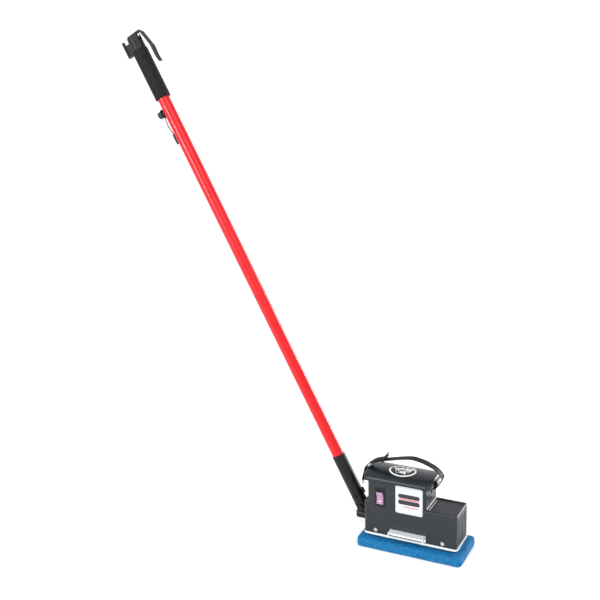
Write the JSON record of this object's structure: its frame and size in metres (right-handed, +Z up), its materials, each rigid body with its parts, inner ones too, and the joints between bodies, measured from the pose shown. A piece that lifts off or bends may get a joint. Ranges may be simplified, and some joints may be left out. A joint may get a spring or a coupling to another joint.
{
  "type": "hand-held orbital floor scrubber",
  "caption": "Small rectangular orbital scrubbing head with a bristly pad, strap and rocker switch, on a long swivelling pole with a squeeze lever.",
  "frame": {"origin": "centre of the scrub pad's bottom face, on the floor that the machine stands on", "axes": "+Z up, +X along the head's long side away from the handle, +Y towards the head's rear face with the power inlet; the pole leans towards -X"},
  "size_m": [0.8645, 0.118, 1.1863],
  "materials": {
    "pad_fibre": "open non-woven nylon, matte",
    "hook_sheet": "woven hook tape, matte",
    "driver_aluminium": "sand cast and milled",
    "bearing_steel": "ground",
    "machined_steel": "turned",
    "cast_iron": "as cast, painted grey",
    "zinc_sheet": "bright zinc plated sheet",
    "zinc_fastener": "zinc plated",
    "mount_rubber": "moulded natural rubber",
    "housing_abs": "moulded ABS, fine grain, satin",
    "label_vinyl": "printed vinyl, satin",
    "badge_vinyl": "printed vinyl, gloss",
    "switch_nylon": "moulded nylon",
    "switch_lens": "tinted translucent lens",
    "black_nylon": "moulded nylon, satin",
    "inlet_brass": "plated blades",
    "film_can": "drawn can",
    "motor_paint": "black enamel",
    "core_steel": "stacked laminations",
    "winding_copper": "enamelled copper wire",
    "black_coat": "black powder coat, satin",
    "red_coat": "gloss red powder coat",
    "grip_foam": "closed-cell foam, matte",
    "webbing": "woven polypropylene webbing"
  },
  "bodies": {
    "head": {"deck_pan": "zinc_sheet", "rubber_mounts": "mount_rubber", "mount_studs": "zinc_fastener", "housing_shell": "housing_abs", "lid": "housing_abs", "lid_badge": "badge_vinyl", "front_label": "label_vinyl", "shell_screws": "zinc_fastener", "switch_bezel": "switch_nylon", "switch_body": "switch_nylon", "power_inlet": "black_nylon", "inlet_blades": "inlet_brass", "capacitor": "film_can", "capacitor_saddle": "zinc_sheet", "terminal_block": "black_nylon", "ballast_weight": "cast_iron", "deck_bolts": "zinc_fastener", "motor_can": "motor_paint", "motor_lower_bell": "driver_aluminium", "motor_upper_bell": "driver_aluminium", "stator_core": "core_steel", "stator_windings": "winding_copper", "motor_bearings": "bearing_steel", "end_bracket": "zinc_sheet", "bracket_screws": "zinc_fastener", "front_bracket": "zinc_sheet", "rivets": "zinc_fastener", "swing_bolt": "zinc_fastener", "swing_nut": "zinc_fastener", "carry_strap": "webbing", "strap_anchors": "black_coat"},
    "rotor": {"rotor_core": "core_steel", "motor_shaft": "machined_steel", "cooling_fan": "black_nylon", "eccentric_hub": "machined_steel", "counterweight": "cast_iron"},
    "pad_driver": {"driver_plate": "driver_aluminium", "pad_grip_sheet": "hook_sheet", "scrub_pad": "pad_fibre", "orbit_bearing": "bearing_steel"},
    "rocker": {"switch_rocker": "switch_lens"},
    "swivel": {"swivel_block": "black_coat"},
    "handle": {"handle_socket": "black_coat", "handle_bolts": "zinc_fastener", "hinge_nut": "zinc_fastener", "pole_tube": "red_coat", "valve_body": "black_nylon", "outlet_spout": "black_nylon", "foam_grip": "grip_foam", "top_cap": "black_nylon", "hanging_hook": "black_nylon", "lever_pin": "machined_steel", "lever_spring": "machined_steel", "fill_port": "black_nylon", "plug_tether": "mount_rubber", "tether_clip": "black_nylon"},
    "trigger": {"trigger_lever": "black_nylon"},
    "rod": {"valve_rod": "driver_aluminium", "valve_seal": "mount_rubber"},
    "plug": {"fill_plug": "mount_rubber"}
  },
  "joints": [
    {"name": "handle_swing", "type": "hinge", "parent": "head", "child": "swivel", "pos_m": [-0.1303, 0, 0.055], "axis": [1, 0, 0], "range_deg": [-45, 45]},
    {"name": "handle_tilt", "type": "hinge", "parent": "swivel", "child": "handle", "pos_m": [-0.133, 0, 0.077], "axis": [0, -1, 0], "range_deg": [-15, 54]},
    {"name": "trigger_squeeze", "type": "hinge", "parent": "handle", "child": "trigger", "pos_m": [-0.71349, 0, 1.16147], "axis": [0, 1, 0], "range_deg": [0, 9], "stiffness_Nm_per_rad": 1, "springref_deg": -11.46},
    {"name": "rod_slide", "type": "slide", "parent": "handle", "child": "rod", "axis": [0.4633, 0, -0.8862], "range_m": [0, 0.0026]},
    {"name": "switch_rock", "type": "hinge", "parent": "head", "child": "rocker", "pos_m": [-0.073, -0.0395, 0.126], "axis": [-1, 0, 0], "range_deg": [0, 14]},
    {"name": "plug_pull", "type": "slide", "parent": "handle", "child": "plug", "axis": [-0.8862, 0, -0.4633], "range_m": [0, 0.012]},
    {"name": "motor_spin", "type": "hinge", "parent": "head", "child": "rotor", "pos_m": [0, 0, 0.1], "axis": [0, 0, 1], "continuous": true},
    {"name": "pad_orbit", "type": "hinge", "parent": "rotor", "child": "pad_driver", "pos_m": [0.002, 0, 0.03], "axis": [0, 0, 1], "continuous": true}
  ],
  "couplings": [
    {"joint": "rod_slide", "follows": "trigger_squeeze", "m_per_rad": 0.0155},
    {"joint": "pad_orbit", "follows": "motor_spin", "ratio": -1}
  ]
}
